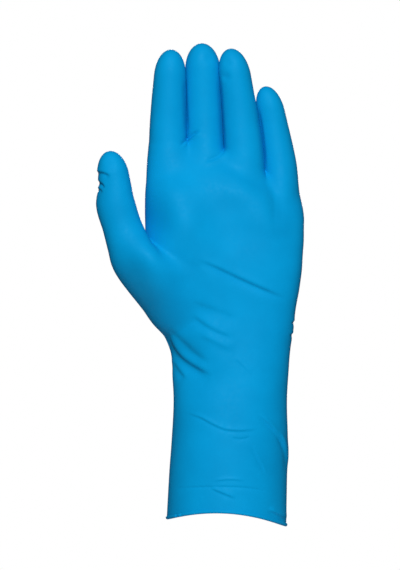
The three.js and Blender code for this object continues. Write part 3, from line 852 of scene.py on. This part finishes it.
def rim_loop(faces):
    """The points round the open end, in order, as the faces beside them run."""
    pairs = np.stack([faces, np.roll(faces, -1, axis=1)], axis=-1).reshape(-1, 2)
    once = {tuple(pair) for pair in pairs.tolist()}
    follow = {a: b for a, b in once if (b, a) not in once}
    start = min(follow)
    loop = [start]
    while follow[loop[-1]] != start:
        loop.append(follow[loop[-1]])
    return np.array(loop)


def zipped(points, one, two):
    """Triangles between two loops that run the same way."""
    two = np.roll(two, -int(((points[two] - points[one[0]]) ** 2).sum(-1).argmin()))
    place = []
    for loop in (one, two):
        ring = np.append(loop, loop[0])
        step = np.linalg.norm(np.diff(points[ring], axis=0), axis=1)
        place.append(np.concatenate([[0.0], np.cumsum(step)]) / step.sum())
    i = j = 0
    made = []
    while i < len(one) or j < len(two):
        if j == len(two) or (i < len(one) and place[0][i + 1] <= place[1][j + 1]):
            made.append((one[i], two[j % len(two)], one[(i + 1) % len(one)]))
            i += 1
        else:
            made.append((one[i % len(one)], two[j], two[(j + 1) % len(two)]))
            j += 1
    return np.array(made)


def thinned(points, faces):
    """The same surface with fewer triangles."""
    mesh = bpy.data.meshes.new("thinned")
    mesh.from_pydata(points.tolist(), [], faces.tolist())
    piece = bpy.data.objects.new("thinned", mesh)
    bpy.context.scene.collection.objects.link(piece)
    modifier = piece.modifiers.new("fewer", "DECIMATE")
    modifier.ratio = INNER_SHARE
    graph = bpy.context.evaluated_depsgraph_get()
    result = piece.evaluated_get(graph).to_mesh()
    co = np.zeros(len(result.vertices) * 3, np.float32)
    result.vertices.foreach_get("co", co)
    result.calc_loop_triangles()
    corner = np.zeros(len(result.loop_triangles) * 3, np.int32)
    result.loop_triangles.foreach_get("vertices", corner)
    bpy.data.objects.remove(piece)
    bpy.data.meshes.remove(mesh)
    return co.reshape(-1, 3).astype(float), corner.reshape(-1, 3).astype(int)


def walled(points, faces):
    """The film's outer surface joined to an inner one through the bead round the mouth."""
    normal = normals_of(points, faces)
    inner, inner_faces = thinned(points - normal * WALL, faces[:, ::-1])
    loop = rim_loop(faces)
    out = normal[loop] * (1.0, 1.0, 0.0)
    out /= np.linalg.norm(out, axis=1)[:, None]
    centre = BEAD_BULGE - BEAD_RADIUS
    first = np.arccos(-centre / BEAD_RADIUS)
    last = -2.0 * np.pi + np.arccos((-WALL - centre) / BEAD_RADIUS)
    rings = []
    for angle in np.linspace(first, last, BEAD_RINGS):
        sideways = centre + BEAD_RADIUS * np.cos(angle)
        down = BEAD_HEIGHT - BEAD_RADIUS + BEAD_RADIUS * -np.sin(angle)
        rings.append(points[loop] + out * sideways - np.array([0.0, 0.0, down]))
    count = len(loop)
    numbers = [loop] + [len(points) + i * count + np.arange(count) for i in range(BEAD_RINGS)]
    points = np.concatenate([points] + rings)
    shell = [faces]
    for upper, lower in zip(numbers, numbers[1:]):
        upper_next, lower_next = np.roll(upper, -1), np.roll(lower, -1)
        shell += [np.stack(t, axis=-1) for t in ((upper_next, upper, lower),
                                                 (upper_next, lower, lower_next))]
    inner_loop = rim_loop(inner_faces)[::-1] + len(points)
    start = len(points)
    points = np.concatenate([points, inner])
    shell.append(inner_faces + start)
    shell.append(zipped(points, numbers[-1], inner_loop)[:, ::-1])
    return points, np.concatenate(shell)


def mesh_object(name, points, faces, material):
    mesh = bpy.data.meshes.new(name)
    mesh.from_pydata((points * MM).tolist(), [], faces.tolist())
    mesh.update()
    mesh.validate()
    mesh.shade_smooth()
    piece = bpy.data.objects.new(name, mesh)
    bpy.context.scene.collection.objects.link(piece)
    mesh.materials.append(material)
    return piece


def noise(nodes, links, place, kind):
    texture = nodes.new("ShaderNodeTexNoise")
    texture.inputs["Scale"].default_value = kind["scale"]
    texture.inputs["Detail"].default_value = kind["detail"]
    links.new(place.outputs["Object"], texture.inputs["Vector"])
    return texture.outputs["Fac"]


def bump(nodes, links, place, kind):
    node = nodes.new("ShaderNodeBump")
    node.inputs["Distance"].default_value = kind["height"]
    node.inputs["Strength"].default_value = kind["strength"]
    links.new(noise(nodes, links, place, kind), node.inputs["Height"])
    return node


def latex():
    """Satin blue film, faintly mottled and uneven where it is thicker or thinner."""
    material = bpy.data.materials.new("latex")
    material.use_nodes = True
    nodes, links = material.node_tree.nodes, material.node_tree.links
    shader = nodes["Principled BSDF"]
    shader.inputs["Specular IOR Level"].default_value = GLOSS
    shader.inputs["Specular Tint"].default_value = GLOSS_TINT
    place = nodes.new("ShaderNodeTexCoord")
    colour = nodes.new("ShaderNodeValToRGB")
    low, high = colour.color_ramp.elements
    low.position, low.color = NOISE_LOW, DEEP_BLUE
    high.position, high.color = NOISE_HIGH, LIGHT_BLUE
    links.new(noise(nodes, links, place, CLOUD), colour.inputs["Fac"])
    links.new(colour.outputs["Color"], shader.inputs["Base Color"])
    satin = nodes.new("ShaderNodeMapRange")
    satin.inputs["From Min"].default_value = NOISE_LOW
    satin.inputs["From Max"].default_value = NOISE_HIGH
    satin.inputs["To Min"].default_value = SATIN[0]
    satin.inputs["To Max"].default_value = SATIN[1]
    links.new(noise(nodes, links, place, SPECK), satin.inputs["Value"])
    links.new(satin.outputs["Result"], shader.inputs["Roughness"])
    broad = bump(nodes, links, place, PUCKER)
    fine = bump(nodes, links, place, GRAIN)
    links.new(broad.outputs["Normal"], fine.inputs["Normal"])
    links.new(fine.outputs["Normal"], shader.inputs["Normal"])
    return material


def floor():
    bpy.ops.mesh.primitive_circle_add(vertices=FLOOR["corners"], radius=FLOOR["radius"],
                                      fill_type="NGON", location=(0, 0, FLOOR["low"]))
    piece = bpy.context.object
    piece.name = "floor"
    material = bpy.data.materials.new("floor")
    material.use_nodes = True
    shader = material.node_tree.nodes["Principled BSDF"]
    shader.inputs["Base Color"].default_value = (FLOOR["grey"], FLOOR["grey"], FLOOR["grey"], 1.0)
    shader.inputs["Roughness"].default_value = FLOOR["roughness"]
    piece.data.materials.append(material)


def world():
    """White to the camera and dim to the glove, so that its edges stay dark."""
    sky = bpy.data.worlds.new("studio")
    bpy.context.scene.world = sky
    sky.use_nodes = True
    nodes, links = sky.node_tree.nodes, sky.node_tree.links
    seen = nodes.new("ShaderNodeLightPath")
    level = nodes.new("ShaderNodeMapRange")
    level.inputs["To Min"].default_value = SKY_ON_GLOVE
    level.inputs["To Max"].default_value = 1.0
    links.new(seen.outputs["Is Camera Ray"], level.inputs["Value"])
    links.new(level.outputs["Result"], nodes["Background"].inputs["Strength"])
    nodes["Background"].inputs["Color"].default_value = (1.0, 1.0, 1.0, 1.0)


def softbox(name, place, power):
    light = bpy.data.lights.new(name, "AREA")
    light.shape = "DISK"
    light.size = SOFTBOX_SIZE
    light.energy = power
    lamp = bpy.data.objects.new(name, light)
    lamp.location = place
    lamp.rotation_euler = (Vector(SOFTBOX_AIM) - Vector(place)).to_track_quat("-Z", "Y").to_euler()
    lamp.visible_camera = False
    bpy.context.scene.collection.objects.link(lamp)


def camera():
    """Square to the palm from far away. The picture's long side is its height."""
    data = bpy.data.cameras.new("camera")
    data.sensor_width = SENSOR
    data.lens = SENSOR * CAMERA["distance"] / CAMERA["picture_height"]
    data.clip_end = CAMERA["clip_end"]
    eye = bpy.data.objects.new("camera", data)
    eye.location = (CAMERA["across"], -CAMERA["distance"], CAMERA["up"])
    eye.rotation_euler = (np.pi / 2, 0.0, 0.0)
    bpy.context.scene.collection.objects.link(eye)
    bpy.context.scene.camera = eye


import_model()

points, quads, rim = smooth_glove()
points, faces, rim = refined_near_folds(points, triangles(points, quads), rim)
points = folded(padded(gathered(points)), faces)
points, faces = walled(points, faces)
film = mesh_object("glove_film", points, faces, latex())
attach(film, "root")
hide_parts("glove")

floor()
world()
for row in SOFTBOXES:
    softbox(*row)
camera()
bpy.context.scene.view_settings.view_transform = "Standard"
